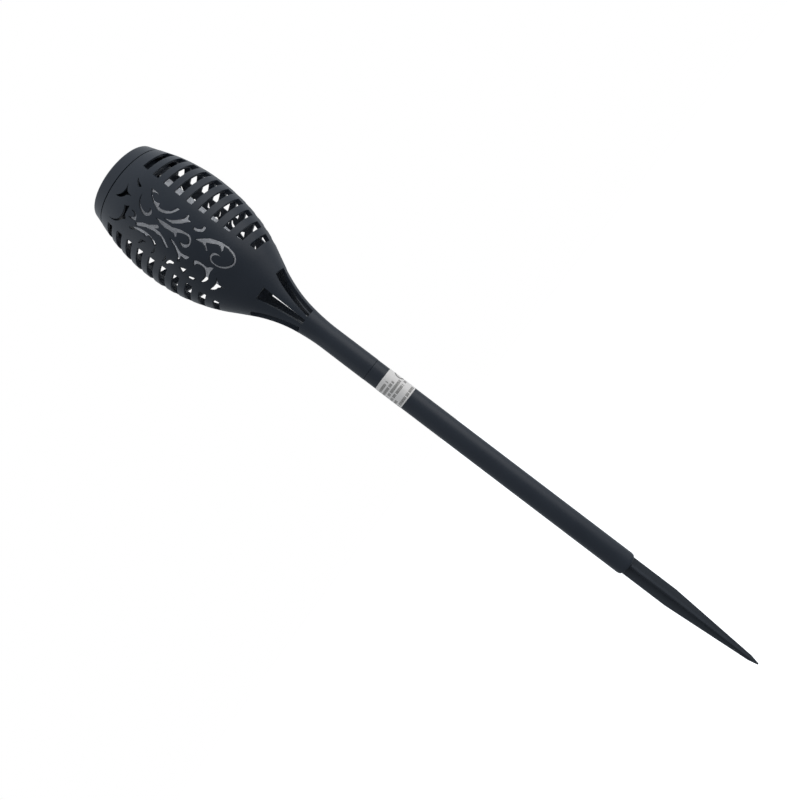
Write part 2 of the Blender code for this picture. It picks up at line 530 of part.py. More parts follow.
def build():
    clear_scene()
    paints = {
        "charcoal": material("charcoal_plastic", (0.035, 0.039, 0.046), 0.42),
        "housing": material("housing_plastic", (0.012, 0.013, 0.015), 0.35),
        "frosted": material("frosted_plastic", (0.62, 0.64, 0.66), 0.55, alpha=0.85),
        "solar": material("solar_laminate", (0.01, 0.014, 0.05), 0.12),
        "foam": material("foam_pad", (0.7, 0.7, 0.68), 0.9),
        "rubber": material("seal_rubber", (0.01, 0.01, 0.01), 0.7),
        "paper": material("label_paper", (0.4, 0.4, 0.39), 0.6),
        "steel": material("screw_steel", (0.55, 0.55, 0.56), 0.3, 1.0),
        "cell": material("cell_wrap", (0.1, 0.3, 0.12), 0.35),
        "board": material("circuit_board", (0.02, 0.12, 0.05), 0.45),
        "chip": material("component_black", (0.02, 0.02, 0.02), 0.5),
        "led": material("led_amber", (0.9, 0.55, 0.1), 0.3),
        "knob": material("knob_plastic", (0.6, 0.6, 0.6), 0.45),
        "red": material("wire_red", (0.5, 0.02, 0.02), 0.45),
        "black": material("wire_black", (0.01, 0.01, 0.01), 0.45),
    }
    stake_body = empty("stake_body")
    pole_body = empty("pole_body", stake_body)
    head_body = empty("head_body", pole_body)
    seal_body = empty("seal_body", head_body)
    lamp_body = empty("lamp_body", seal_body)
    switch_body = empty("switch_slide", lamp_body)

    ground_stake(paints["charcoal"], stake_body)
    pole(paints["charcoal"], paints["paper"], pole_body)
    shell_half("head_shell_front", paints["charcoal"], head_body, 0)
    shell_half("head_shell_rear", paints["charcoal"], head_body, 180)
    seal_ring(paints["rubber"], seal_body)
    cap(paints["charcoal"], lamp_body)
    solar_panel(paints["solar"], paints["foam"], lamp_body)
    lamp_housing(paints["housing"], lamp_body)
    housing_screws(paints["steel"], lamp_body)
    diffuser(paints["frosted"], lamp_body)
    battery(paints["cell"], paints["steel"], lamp_body)
    control_board(paints, lamp_body)
    led_board(paints, lamp_body)
    slide_switch(paints, lamp_body, switch_body)


build()
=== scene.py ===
"""Looks of the solar tiki torch: fine meshes, procedural finishes, a pale studio and the camera.

Shapes are drawn in millimetres and become metres in piece(). Azimuths are in degrees, counted from -Y,
where the front scroll panel is, towards +X.
"""
import math

import bmesh
import bpy
from mathutils import Matrix, Vector


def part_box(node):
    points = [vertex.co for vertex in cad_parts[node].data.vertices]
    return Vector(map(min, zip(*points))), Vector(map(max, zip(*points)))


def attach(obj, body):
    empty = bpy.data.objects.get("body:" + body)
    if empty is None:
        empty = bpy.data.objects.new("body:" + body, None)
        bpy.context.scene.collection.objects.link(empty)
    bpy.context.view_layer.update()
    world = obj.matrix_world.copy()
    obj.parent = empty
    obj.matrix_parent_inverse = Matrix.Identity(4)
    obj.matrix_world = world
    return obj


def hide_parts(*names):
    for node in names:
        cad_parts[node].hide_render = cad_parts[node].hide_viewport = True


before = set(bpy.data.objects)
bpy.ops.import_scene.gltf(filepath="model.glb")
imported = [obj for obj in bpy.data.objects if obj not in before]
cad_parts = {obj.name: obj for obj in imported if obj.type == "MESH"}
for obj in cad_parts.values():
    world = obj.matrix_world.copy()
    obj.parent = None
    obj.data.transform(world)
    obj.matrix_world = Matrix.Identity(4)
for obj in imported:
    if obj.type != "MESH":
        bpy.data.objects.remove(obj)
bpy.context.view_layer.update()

MM = 0.001


# ---------------------------------------------------------------- sizes, from the frame

def corners(node):
    """A CAD node's lowest and highest corners, in millimetres."""
    low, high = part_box(node)
    return low / MM, high / MM


def middle(node):
    low, high = corners(node)
    return (low + high) / 2


SHELL_LOW, SHELL_TOP = corners("head_shell_front")[0].z, corners("head_shell_front")[1].z
POLE_TOP, POLE_R = corners("pole_tube")[1].z, corners("pole_tube")[1].x
CAP_TOP, CAP_R = corners("cap")[1].z, corners("cap")[1].x
HOUSING_R = corners("lamp_housing")[1].x
HOUSING_TOP = corners("lamp_housing")[1].z
COLLAR_LOW = corners("lamp_housing")[0].z
DIFFUSER_LOW, DIFFUSER_TOP = corners("diffuser")[0].z, corners("diffuser")[1].z
DIFFUSER_R = corners("diffuser")[1].x
STAKE_TIP, PLUG_TOP = corners("ground_stake")[0].z, corners("ground_stake")[1].z
PANEL_HALF = corners("solar_panel")[1].x
PANEL_LOW, PANEL_TOP = corners("solar_panel")[0].z, corners("solar_panel")[1].z
SEAL_LOW, SEAL_TOP = corners("seal_ring")[0].z, corners("seal_ring")[1].z
LABEL_LOW, LABEL_TOP = corners("pole_label")[0].z, corners("pole_label")[1].z

# ---------------------------------------------------------------- the shell's design

WALL, NECK_WALL = 2.0, 3.9    # the wall grows from the one to the other over the flare
STRUT_WALL, STRUT_DEG = 3.4, (81.5, 84.0)    # and towards the parting plane, between these azimuths
FLARE_TOP, FLARE_LOW = 292.0, 246.0
EDGE_ROUND = 0.22
PARTING = 0.05                # half of the gap between the two half shells
NECK_LOW, SHOULDER = 208.85, 0.3
SPIGOT_R, SPIGOT_WALL = 5.9, 1.5
FLAT_R = 36.0                 # the radius at which the shell is drawn flat
COLUMN_DEG, ROW_TALL = 2.5, 2.2
SHELL_OUTLINE = [(209, 8.1), (246, 8.1), (262, 9.5), (274, 12.0), (286, 16.3), (298, 22.3), (309, 28.0),
                 (321, 32.8), (336, 36.7), (349, 38.4), (360, 38.8), (371, 38.2), (387, 35.4), (403, 30.3)]

# Slots run from the panel's straight edges, at +-SCROLL_HALF in X, to the strut along the parting plane.
# The rear half's sit REAR_DROP lower. The neck's tapered windows are given by the azimuths of their low
# and high ends.
SCROLL_HALF, STRUT_HALF = 20.8, 3.8
SLOT_ROWS, SLOT_PITCH, SLOT_TALL, TOP_SLOT, REAR_DROP = 10, 8.92, 4.4, 391.9, 1.5
WINDOW_LOW, WINDOW_HIGH = 260.9, 292.4
WINDOWS = [((-68, -28), (-82, -50)), ((-11.3, 11.3), (-13.5, 13.5)), ((28, 68), (50, 82))]
CORNER_ROUND = 0.5

# Each half leaves its mould along Y, so its openings' sides run along Y near the panel and turn radial
# between these azimuths.
DRAWN_DEG, RADIAL_DEG, DRAWN_MOST = 48.0, 75.0, 1.06

# Scrollwork: openings drawn flat on the panel, as x and height over PANEL_DATUM, each with the bulge
# of the arc to the next point: over 0 swells outwards and below 0 is hollow.
PANEL_DATUM = 350.0
SCROLLS = {
    "crest": [(8.5, 43, -0.35), (-2.5, 46, 0.3), (2, 40, -0.2), (3.5, 36.5, -0.1), (4, 40.5, -0.15)],
    "tick": [(15.5, 40.5, 0.15), (11, 37, 0.1), (11.5, 35, 0.2), (12.5, 36.5, -0.15)],
    "swallow": [(-3.5, 37, -0.5), (-19, 44, 0.25), (-12.5, 35, -0.1), (-10, 32, -0.1), (-8.5, 34, 0),
                (-2, 34, -0.2)],
    "hook": [(-6, 26, 0.45), (-3, 31.5, -0.4), (-5, 27.5, -0.2), (-6.5, 29, 0), (-7.5, 31.5, 0.05),
             (-7, 26.5, 0.2)],
    "crescent": [(8.5, 31.5, 0.35), (-0.5, 23.5, 0.3), (2, 19.5, 0.45), (4.5, 22, -0.85), (1, 24, -0.37)],
    "branch": [(14.5, 29, 0.18), (6.5, 18, 0.2), (9.5, 10, 0.1), (14, 7.5, 0), (14, 9, -0.1), (10, 11, -0.2),
               (8, 18.5, 0), (10, 19, -0.15), (9.5, 23, -0.1), (13, 27.5, -0.1), (14.5, 23, 0)],
    "outer_leaf": [(-11, 6.5, 0.35), (-12.5, 27.5, 0.1), (-13, 26.5, -0.15), (-9.5, 17, 0.1), (-10.5, 15.5, 0),
                   (-8.5, 14.5, -0.18), (-11.5, 8, 0.1)],
    "inner_leaf": [(-7.5, 0, 0.1), (-3, 9, 0), (-3, 13, 0), (-1.5, 11, 0.4), (-0.5, 12.5, 0), (-3.5, 17, 0.15),
                   (-7.5, 25, 0.2), (-8.5, 24, -0.12), (-4.5, 13, 0.08), (-4.5, 7.5, 0), (-8, 1.5, 0.1)],
    "crook": [(-0.5, -4, 0.15), (-2, -7, 0.4), (1.5, -10, 0.35), (6, -6, 0.1), (3.5, 4.5, 0.05), (2.5, 15.5, 0.1),
              (1, 8.5, 0), (1.5, 2, -0.1), (0, 0, 0), (1, -0.5, -0.1), (3, 0.5, -0.15), (5, -5.5, -0.35),
              (1.5, -9, -0.3), (-0.5, -6.5, -0.1)],
    "right_leaf": [(5, 11.5, 0.05), (5.5, 6, 0.05), (9, 1, 0), (11.5, -1, 0), (12.5, -2.5, 0), (12.5, 0, 0),
                   (14.5, 0.5, 0.3), (14.5, 1.5, -0.15), (11, 2, -0.05), (6.5, 7, -0.05)],
    "comma": [(11, -6, 0.5), (10, -7, 0.2), (12.5, -11.5, 0.1), (15, -11.5, 0.4), (15, -10, 0), (13, -10, -0.15),
              (11.5, -8, 0)],
    "fork": [(-2, 2, 0.05), (-4.5, -3, 0), (-7.5, -7, 0), (-11.5, -9, 0.2), (-11, -10, 0), (-7, -8.5, 0.05),
             (-7.5, -11.5, 0.25), (-5, -13.5, 0.05), (-5.5, -11, -0.1), (-5.5, -7.5, 0), (-2.5, -1, 0)],
    "edge_comma": [(-17, -2.5, 0), (-17, -3.5, -0.1), (-15.5, -4.5, 0), (-14.5, -7, 0.2), (-13.5, -7, 0.05),
                   (-13.5, -4.5, 0.2)],
    "upper_slit": [(-12.5, 7, -0.15), (-17, 8, 0.45)],
    "lower_slit": [(-12.5, -1, -0.15), (-17, -0.5, 0.4)],
    "edge_bird": [(-13.5, 17, -0.1), (-17, 18, 0.2), (-14.5, 16, 0), (-13, 13.5, 0)],
    "lower_curl": [(-16, -26, 0.2), (-11.5, -29, -0.05), (-6, -28, 0), (-2.5, -28.5, 0.2), (-3.5, -26.5, -0.05),
                   (-4.5, -25.5, 0.1), (-4, -19, 0.25), (-5.5, -17, 0.1), (-8, -18.5, -0.1), (-5.5, -19, -0.15),
                   (-5.5, -24, -0.15), (-10, -27, -0.15)],
    "side_slit": [(-16.5, -18.5, 0.2), (-17.5, -18.5, 0.1), (-17, -22.5, 0.1), (-15.5, -23, 0)],
    "bud": [(-14, -11.5, 0.05), (-16.5, -15, -0.05), (-13, -16, 0.05)],
    "spiral": [(6, -10.5, 0), (7, -15, -0.15), (4.5, -19.5, 0.2), (5, -20, -0.1), (8.5, -16.5, 0.05),
               (12, -22.5, 0), (12, -24.5, 0), (10, -26.5, 0.3), (11, -27, -0.05), (14, -26, -0.2),
               (12, -34.5, -0.15), (8.5, -36, -0.25), (1.5, -32, -0.25), (1, -26, -0.3), (3.5, -24, -0.3),
               (6.5, -26.5, -0.05), (7, -28, 0.1), (6.5, -24.5, 0.3), (3.5, -23, 0.35), (0, -26.5, 0.25),
               (2, -34, 0.2), (8.5, -37, 0.25), (14.5, -33, 0.15), (14.5, -24, 0.05), (11.5, -17, 0)],
    "star": [(-7, -33, -0.1), (-11.5, -34, -0.15), (-18.5, -32.5, 0.3), (-14, -36, -0.1), (-12.5, -39.5, 0),
             (-11.5, -36, -0.1)],
}
ARC_STEP_DEG = 14.0
TIP_CUT = 0.25                # how far back a sharp corner of an opening is blunted
SWELL = 0.16                  # how much wider than drawn a scroll is cut, on each side
MITRE = 0.6                   # keeps a sharp corner from moving out too far


# ---------------------------------------------------------------- mesh tools

def piece(name, bm, paints, body, stands_for, sharp=32.0, weighted=False):
    """Make bm the mesh of a new piece that rides on body and stands for a CAD node."""
    bmesh.ops.scale(bm, vec=(MM, MM, MM), verts=bm.verts)
    mesh = bpy.data.meshes.new(name)
    bm.to_mesh(mesh)
    bm.free()
    mesh.shade_smooth()
    mesh.set_sharp_from_angle(angle=math.radians(sharp))
    for paint in paints if isinstance(paints, list) else [paints]:
        mesh.materials.append(paint)
    made = bpy.data.objects.new(name, mesh)
    bpy.context.scene.collection.objects.link(made)
    if weighted:
        evened = made.modifiers.new("even_shading", "WEIGHTED_NORMAL")
        evened.keep_sharp = True
    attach(made, body)
    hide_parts(stands_for)
    return made


def joined(bm):
    """Merge the doubles and point the faces outwards."""
    bmesh.ops.remove_doubles(bm, verts=bm.verts, dist=1e-4)
    bmesh.ops.recalc_face_normals(bm, faces=bm.faces)
    return bm


def filleted(path, closed=False, steps=5):
    """A profile of (radius, height, fillet) points with each corner rounded by its fillet."""
    out = []
    count = len(path)
    for i, (r, z, fillet) in enumerate(path):
        here = Vector((r, z))
        if not fillet or (not closed and i in (0, count - 1)):
            out.append(here)
            continue
        before, after = Vector(path[i - 1][:2]), Vector(path[(i + 1) % count][:2])
        back, ahead = (before - here).normalized(), (after - here).normalized()
        half = back.angle(ahead) / 2
        reach = fillet / math.tan(half)
        start, end = here + back * reach, here + ahead * reach
        centre = here + (back + ahead).normalized() * fillet / math.sin(half)
        first = start - centre
        sweep = first.angle_signed(end - centre)
        for k in range(steps + 1):
            out.append(centre + Matrix.Rotation(-sweep * k / steps, 2) @ first)
    return out


def turned(path, segments=96, closed=False, steps=5):
    """Spin a filleted profile round the Z axis."""
    bm = bmesh.new()
    verts = [bm.verts.new((p.x, 0, p.y)) for p in filleted(path, closed, steps)]
    pairs = list(zip(verts, verts[1:])) + ([(verts[-1], verts[0])] if closed else [])
    edges = [bm.edges.new(pair) for pair in pairs]
    bmesh.ops.spin(bm, geom=verts + edges, cent=(0, 0, 0), axis=(0, 0, 1), angle=2 * math.pi,
                   steps=segments, use_merge=True)
    return joined(bm)


def block(low, high, rounding=0.0, segments=3):
    """A box between two corners with rounded edges."""
    bm = bmesh.new()
    bmesh.ops.create_cube(bm, size=1)
    low, high = Vector(low), Vector(high)
    bmesh.ops.scale(bm, vec=high - low, verts=bm.verts)
    bmesh.ops.translate(bm, vec=(high + low) / 2, verts=bm.verts)
    if rounding:
        bmesh.ops.bevel(bm, geom=bm.edges[:], offset=rounding, segments=segments, profile=0.5,
                        affect="EDGES", material=-1)
    return joined(bm)


def carved(bm, *cutters):
    """bm with each cutter taken out of it by a Boolean."""
    def holder(shape, name):
        mesh = bpy.data.meshes.new(name)
        shape.to_mesh(mesh)
        shape.free()
        made = bpy.data.objects.new(name, mesh)
        bpy.context.scene.collection.objects.link(made)
        return made

    body = holder(bm, "carving")
    tools = [holder(cutter, "cutter") for cutter in cutters]
    for tool in tools:
        cut = body.modifiers.new("cut", "BOOLEAN")
        cut.operation = "DIFFERENCE"
        cut.solver = "EXACT"
        cut.object = tool
    result = bmesh.new()
    result.from_object(body, bpy.context.evaluated_depsgraph_get())
    for thing in [body] + tools:
        bpy.data.objects.remove(thing, do_unlink=True)
    return result


def polar(radius, azimuth):
    """The x and y of a point at an azimuth from -Y."""
    a = math.radians(azimuth)
    return radius * math.sin(a), -radius * math.cos(a)


def at(bm, x=0.0, y=0.0, z=0.0):
    """bm moved to a place."""
    bmesh.ops.translate(bm, vec=(x, y, z), verts=bm.verts)
    return bm


def rod(radius, low, high, segments=24):
    """A plain round rod up Z, as a cutter or a pin."""
    return turned([(0, high, 0), (radius, high, 0), (radius, low, 0), (0, low, 0)], segments)


def along_x(bm):
    """Turn a shape drawn up Z so that it runs along +X."""
    bmesh.ops.rotate(bm, cent=(0, 0, 0), matrix=Matrix.Rotation(math.pi / 2, 3, "Y"), verts=bm.verts)
    return bm


def merged(*shapes):
    """Several (shape, paint number) pairs as one shape whose faces carry those numbers."""
    whole = bmesh.new()
    for bm, number in shapes:
        for face in bm.faces:
            face.material_index = number
        mesh = bpy.data.meshes.new("shape")
        bm.to_mesh(mesh)
        bm.free()
        whole.from_mesh(mesh)
        bpy.data.meshes.remove(mesh)
    return whole


def from_curve(line):
    """A curve's evaluated mesh as a bmesh. The curve is used up."""
    holder = bpy.data.objects.new(line.name, line)
    bm = bmesh.new()
    bm.from_mesh(holder.to_mesh())
    holder.to_mesh_clear()
    bpy.data.objects.remove(holder)
    bpy.data.curves.remove(line)
    return joined(bm)


def tube(points, radius, resolution=3):
    """A round wire through points."""
    line = bpy.data.curves.new("wire_line", "CURVE")
    line.dimensions = "3D"
    line.bevel_depth = radius
    line.bevel_resolution = resolution
    line.use_fill_caps = True
    path = line.splines.new("POLY")
    path.points.add(len(points) - 1)
    for spot, point in zip(path.points, points):
        spot.co = (*point, 1)
    return from_curve(line)


# ---------------------------------------------------------------- shader tools

class Value:
    """A socket of a material's nodes. Sums on it add Math nodes."""

    def __init__(self, paint, socket):
        self.paint = paint
        self.socket = socket

    def math(self, operation, *values):
        return self.paint.node("ShaderNodeMath", {"operation": operation}, values)

    def __add__(self, other):
        return self.math("ADD", self, other)

    def __sub__(self, other):
        return self.math("SUBTRACT", self, other)

    def __rsub__(self, other):
        return self.math("SUBTRACT", other, self)

    def __mul__(self, other):
        return self.math("MULTIPLY", self, other)

    def __truediv__(self, other):
        return self.math("DIVIDE", self, other)

    def __gt__(self, other):
        return self.math("GREATER_THAN", self, other)

    def __lt__(self, other):
        return self.math("LESS_THAN", self, other)

    def __mod__(self, other):
        return self.math("FLOORED_MODULO", self, other)

    def __abs__(self):
        return self.math("ABSOLUTE", self)

    __radd__ = __add__
    __rmul__ = __mul__

    def floor(self):
        return self.math("FLOOR", self)

    def max(self, other):
        return self.math("MAXIMUM", self, other)


class Shading:
    """A node tree under construction."""

    def __init__(self, tree):
        self.tree = tree

    def node(self, kind, settings=None, values=(), output=0):
        """Add a node: its settings first, then the values or links of its sockets. Returns an output."""
        made = self.tree.nodes.new(kind)
        for key, value in (settings or {}).items():
            setattr(made, key, value)
        pairs = values.items() if isinstance(values, dict) else enumerate(values)
        for key, value in pairs:
            if isinstance(value, Value):
                self.tree.links.new(value.socket, made.inputs[key])
            else:
                made.inputs[key].default_value = value
        return Value(self, made.outputs[output])


class Paint(Shading):
    """A material under construction. Constants go on the Principled shader's own sockets."""

    def __init__(self, name, **constants):
        self.material = bpy.data.materials.new(name)
        self.material.use_nodes = True
        super().__init__(self.material.node_tree)
        self.shader = self.tree.nodes["Principled BSDF"]
        for key, value in constants.items():
            socket = self.shader.inputs[key.replace("_", " ").title().replace("Ior", "IOR")]
            socket.default_value = (*value, 1.0) if isinstance(value, tuple) and len(value) == 3 else value
        self.spot = self.node("ShaderNodeTexCoord", output="Object")

    def feed(self, **links):
        """Link values to the shader's sockets."""
        for key, value in links.items():
            self.tree.links.new(value.socket, self.shader.inputs[key.replace("_", " ")])
        return self

    def noise(self, size, detail=2.0, roughness=0.5):
        """Soft noise whose patches are about size millimetres across."""
        values = {"Vector": self.spot, "Scale": 1 / (size * MM), "Detail": detail, "Roughness": roughness}
        return self.node("ShaderNodeTexNoise", {}, values)

    def mix(self, amount, first, second):
        """A colour between two colours."""
        ends = {key: value if isinstance(value, Value) else (*value, 1.0)
                for key, value in ((6, first), (7, second))}
        settings = {"data_type": "RGBA", "clamp_factor": True}
        return self.node("ShaderNodeMix", settings, {0: amount, **ends}, output=2)

    def bump(self, height, depth, strength=1.0):
        """A bump of depth millimetres."""
        return self.node("ShaderNodeBump", {}, {"Strength": strength, "Distance": depth * MM, "Height": height})

    def axes(self):
        """The place on the object as x, y and z in millimetres."""
        split = self.node("ShaderNodeSeparateXYZ", {}, {0: self.spot})
        outputs = split.socket.node.outputs
        return [Value(self, outputs[i]) / MM for i in range(3)]


def moulded_plastic(name, dark, light, roughness, grain=0.35, depth=0.012, **constants):
    """Moulded plastic: slow colour clouds, a fine spark-eroded grain and uneven gloss."""
    paint = Paint(name, **constants)
    clouds = paint.noise(28, 4.0, 0.6)
    pores = paint.noise(grain, 2.0)
    paint.feed(Base_Color=paint.mix(clouds * 1.6 - 0.3, dark, light),
               Roughness=clouds * 0.10 + pores * 0.08 + (roughness - 0.09),
               Normal=paint.bump(pores, depth))
    return paint.material


def frosted_plastic():
    """Milky translucent plastic, frosted outside, with a painted glow: a faint emission brightens it though no
    lamp is lit inside.
    """
    # Emission_Color and Emission_Strength paint a faint glow on the diffuser; the LEDs are off.
    paint = Paint("frosted_plastic", Transmission_Weight=0.08, Ior=1.46, Emission_Color=(0.90, 0.93, 1.0),
                  Emission_Strength=0.065)
    mist, frost = paint.noise(14, 3.0), paint.noise(0.25, 2.0)
    paint.feed(Base_Color=paint.mix(mist, (0.84, 0.86, 0.90), (0.90, 0.915, 0.94)),
               Roughness=frost * 0.12 + 0.48,
               Normal=paint.bump(frost, 0.01))
    return paint.material


def label_paper():
    """Coated paper with rows of plain grey bars and a plain ring in place of print."""
    paint = Paint("label_paper", Coat_Roughness=0.3)
    x, y, z = paint.axes()
    azimuth = paint.node("ShaderNodeMath", {"operation": "ARCTAN2"}, [x, y * -1]) * (180 / math.pi)
    first_row, pitch, tall, glyph = 178.6, 3.06, 0.32, 4.6
    place = (z - first_row) / pitch
    row = place.floor()
    inside = abs(place - row - 0.5) < tall
    cell = (azimuth / glyph).floor()
    dice = paint.node("ShaderNodeTexWhiteNoise", {"noise_dimensions": "2D"},
                      {"Vector": paint.node("ShaderNodeCombineXYZ", {}, {0: cell, 1: row})})
    gap_in_cell = (azimuth % glyph) < glyph * 0.78
    printed = inside * (dice > 0.16) * gap_in_cell * (azimuth > -104.0)
    ends = [84.0, -34.0, 84.0, 66.0, 32.0, 14.0]
    reach = 0.0
    for i, end in enumerate(ends):
        reach = (abs(row - float(i)) < 0.5) * (azimuth < end) + reach
    ring_azimuth, ring_z, ring_r, ring_line = 92.5, 191.6, 3.1, 0.6
    across = (azimuth - ring_azimuth) * (math.radians(1) * POLE_R)
    up = z - ring_z
    distance = paint.node("ShaderNodeMath", {"operation": "SQRT"}, [across * across + up * up])
    ring = abs(distance - ring_r) < ring_line
    ink = (printed * reach).max(ring)
    fibre = paint.noise(0.9, 3.0)
    paper = paint.mix(fibre, (0.84, 0.81, 0.785), (0.90, 0.87, 0.845))
    paint.feed(Base_Color=paint.mix(ink * (fibre * 0.3 + 0.7), paper, (0.13, 0.125, 0.115)),
               Roughness=fibre * 0.15 + 0.38 + ink * 0.1,
               Normal=paint.bump(fibre, 0.01))
    return paint.material


def solar_laminate():
    """Dark blue cell strips with fine silver fingers under clear resin."""
    paint = Paint("solar_laminate", Coat_Roughness=0.06, Coat_Ior=1.5, Specular_IOR_Level=0.5)
    x, y, z = paint.axes()
    strips, finger, bus = 4, 1.1, 0.35
    wide = 2 * PANEL_HALF / strips
    in_strip = (x + PANEL_HALF) % wide
    seam = abs(in_strip - wide / 2) > wide / 2 - 0.25
    bar = abs(in_strip - wide / 2) < bus / 2
    fingers = ((y + PANEL_HALF) % finger) < 0.13
    border = (abs(x) > PANEL_HALF - 0.9).max(abs(y) > PANEL_HALF - 0.9)
    crystal = paint.node("ShaderNodeTexVoronoi", {"feature": "F1"}, {"Vector": paint.spot, "Scale": 260.0})
    cells = paint.mix(crystal * 0.9, (0.006, 0.010, 0.045), (0.016, 0.026, 0.105))
    metal = (fingers * (1 - border)).max(bar)
    backing = paint.mix(border.max(seam), cells, (0.012, 0.013, 0.015))
    wires = metal * (1 - border.max(seam))
    paint.feed(Base_Color=paint.mix(wires, backing, (0.42, 0.43, 0.45)),
               Roughness=paint.noise(3.0, 2.0) * 0.06 + 0.10 + wires * 0.15,
               Coat_Weight=paint.noise(9.0, 2.0) * 0.1 + 0.85)
    return paint.material


def rubber(name, colour):
    paint = Paint(name)
    bloom = paint.noise(1.2, 4.0, 0.7)
    paint.feed(Base_Color=paint.mix(bloom, colour, tuple(c * 1.8 + 0.006 for c in colour)),
               Roughness=bloom * 0.2 + 0.58, Normal=paint.bump(bloom, 0.02))
    return paint.material


def plated_steel():
    paint = Paint("plated_steel", Metallic=1.0)
    film, lines = paint.noise(2.5, 3.0), paint.noise(0.15, 2.0)
    paint.feed(Base_Color=paint.mix(film, (0.50, 0.50, 0.49), (0.68, 0.67, 0.64)),
               Roughness=lines * 0.2 + 0.22, Normal=paint.bump(lines, 0.004))
    return paint.material


def circuit_board():
    """Green solder mask with plain copper tracks showing through it."""
    paint = Paint("circuit_board", Coat_Weight=0.4, Coat_Roughness=0.15)
    x, y, z = paint.axes()
    tracks = (abs(((x + y * 0.5) % 2.4) - 1.2) < 0.2).max(abs(((z + x * 0.25) % 2.9) - 1.45) < 0.2)
    mottle = paint.noise(1.5, 3.0)
    mask = paint.mix(mottle, (0.008, 0.070, 0.026), (0.014, 0.105, 0.040))
    paint.feed(Base_Color=paint.mix(tracks * 0.6, mask, (0.035, 0.20, 0.07)),
               Roughness=mottle * 0.12 + 0.3, Normal=paint.bump(tracks, 0.02))
    return paint.material


def component_black():
    paint = Paint("component_black")
    dust = paint.noise(0.3, 3.0)
    paint.feed(Base_Color=paint.mix(dust, (0.012, 0.012, 0.013), (0.03, 0.03, 0.031)),
               Roughness=dust * 0.2 + 0.42, Normal=paint.bump(dust, 0.01))
    return paint.material


def led_amber():
    """The amber phosphor under an LED's clear window."""
    paint = Paint("led_amber", Coat_Weight=0.6, Coat_Roughness=0.08)
    glow = paint.noise(1.1, 2.0)
    paint.feed(Base_Color=paint.mix(glow, (0.80, 0.42, 0.06), (0.95, 0.72, 0.25)), Roughness=glow * 0.2 + 0.18)
    return paint.material


def cell_wrap():
    """Shrink wrap on the cell: a green sleeve with a plain pale band near one end."""
    paint = Paint("cell_wrap", Coat_Weight=0.5, Coat_Roughness=0.12)
    x, y, z = paint.axes()
    band = abs(x - 9.0) < 2.0
    end = abs(x) > 14.0
    wrinkle = paint.noise(2.0, 3.0)
    sleeve = paint.mix(band, (0.03, 0.20, 0.07), (0.62, 0.62, 0.60))
    paint.feed(Base_Color=paint.mix(end, sleeve, (0.55, 0.55, 0.54)), Metallic=end,
               Roughness=wrinkle * 0.15 + 0.28, Normal=paint.bump(wrinkle, 0.02))
    return paint.material


def insulation(name, colour):
    paint = Paint(name)
    sheen = paint.noise(0.8, 2.0)
    paint.feed(Base_Color=paint.mix(sheen, tuple(c * 0.8 for c in colour), colour), Roughness=sheen * 0.15 + 0.36)
    return paint.material


# ---------------------------------------------------------------- the head's shell

def shell_radius(z):
    """The shell's outer radius at a height, on a smooth curve through SHELL_OUTLINE."""
    points = SHELL_OUTLINE
    z = min(max(z, points[0][0]), points[-1][0])
    i = max(k for k in range(len(points) - 1) if points[k][0] <= z)
    (z0, r0), (z1, r1) = points[i], points[i + 1]

    def slope(k):
        before, after = points[max(k - 1, 0)], points[min(k + 1, len(points) - 1)]
        return (after[1] - before[1]) / (after[0] - before[0])

    t, span = (z - z0) / (z1 - z0), z1 - z0
    return ((2 * t**3 - 3 * t**2 + 1) * r0 + (t**3 - 2 * t**2 + t) * span * slope(i)
            + (3 * t**2 - 2 * t**3) * r1 + (t**3 - t**2) * span * slope(i + 1))


def wall_radii(z, azimuth):
    """The shell's outer and inner radius at a place, spigot included."""
    if z < NECK_LOW - SHOULDER / 2:
        return SPIGOT_R, SPIGOT_R - SPIGOT_WALL
    outer = shell_radius(z)
    lean = shell_radius(z + 0.5) - shell_radius(z - 0.5)
    flare = min(max((z - FLARE_LOW) / (FLARE_TOP - FLARE_LOW), 0.0), 1.0)
    strut = min(max((abs(azimuth) - STRUT_DEG[0]) / (STRUT_DEG[1] - STRUT_DEG[0]), 0.0), 1.0)
    wall = WALL + (STRUT_WALL - WALL) * strut
    return outer, outer - (NECK_WALL + (wall - NECK_WALL) * flare) * math.hypot(1, lean)


def drawn_azimuth(azimuth, outer, inner):
    """Where the inner edge of a cut falls when its outer edge is at an azimuth."""
    ratio = min(outer / inner, DRAWN_MOST)
    straight = math.degrees(math.asin(max(-1.0, min(1.0, ratio * math.sin(math.radians(azimuth))))))
    radial = min(max((abs(azimuth) - DRAWN_DEG) / (RADIAL_DEG - DRAWN_DEG), 0.0), 1.0)
    return straight + (azimuth - straight) * radial


def flat_x(azimuth):
    """Where an azimuth falls on the flat drawing."""
    return math.radians(azimuth) * FLAT_R


def arc(start, end, bulge):
    """The points from start up to, not with, end, on an arc that swells to the right of its way."""
    start, end = Vector(start), Vector(end)
    if not bulge:
        return [start]
    chord = end - start
    sweep = 4 * math.atan(bulge)
    aside = Vector((chord.y, -chord.x)) * (bulge / 2)
    centre = (start + end) / 2 + aside - aside * (1 + bulge**2) / (2 * bulge**2)
    count = max(2, round(abs(math.degrees(sweep)) / ARC_STEP_DEG))
    return [centre + Matrix.Rotation(sweep * i / count, 2) @ (start - centre) for i in range(count)]


def blunted(outline):
    """An outline with its sharp corners cut back."""
    out = []
    for before, here, after in zip(outline[-1:] + outline[:-1], outline, outline[1:] + outline[:1]):
        back, ahead = before - here, after - here
        if back.angle(ahead) > math.radians(120):
            out.append(here)
            continue
        reach = min(TIP_CUT, back.length / 3, ahead.length / 3)
        out += [here + back.normalized() * reach, here + (back.normalized() + ahead.normalized()) * reach / 4,
                here + ahead.normalized() * reach]
    return out


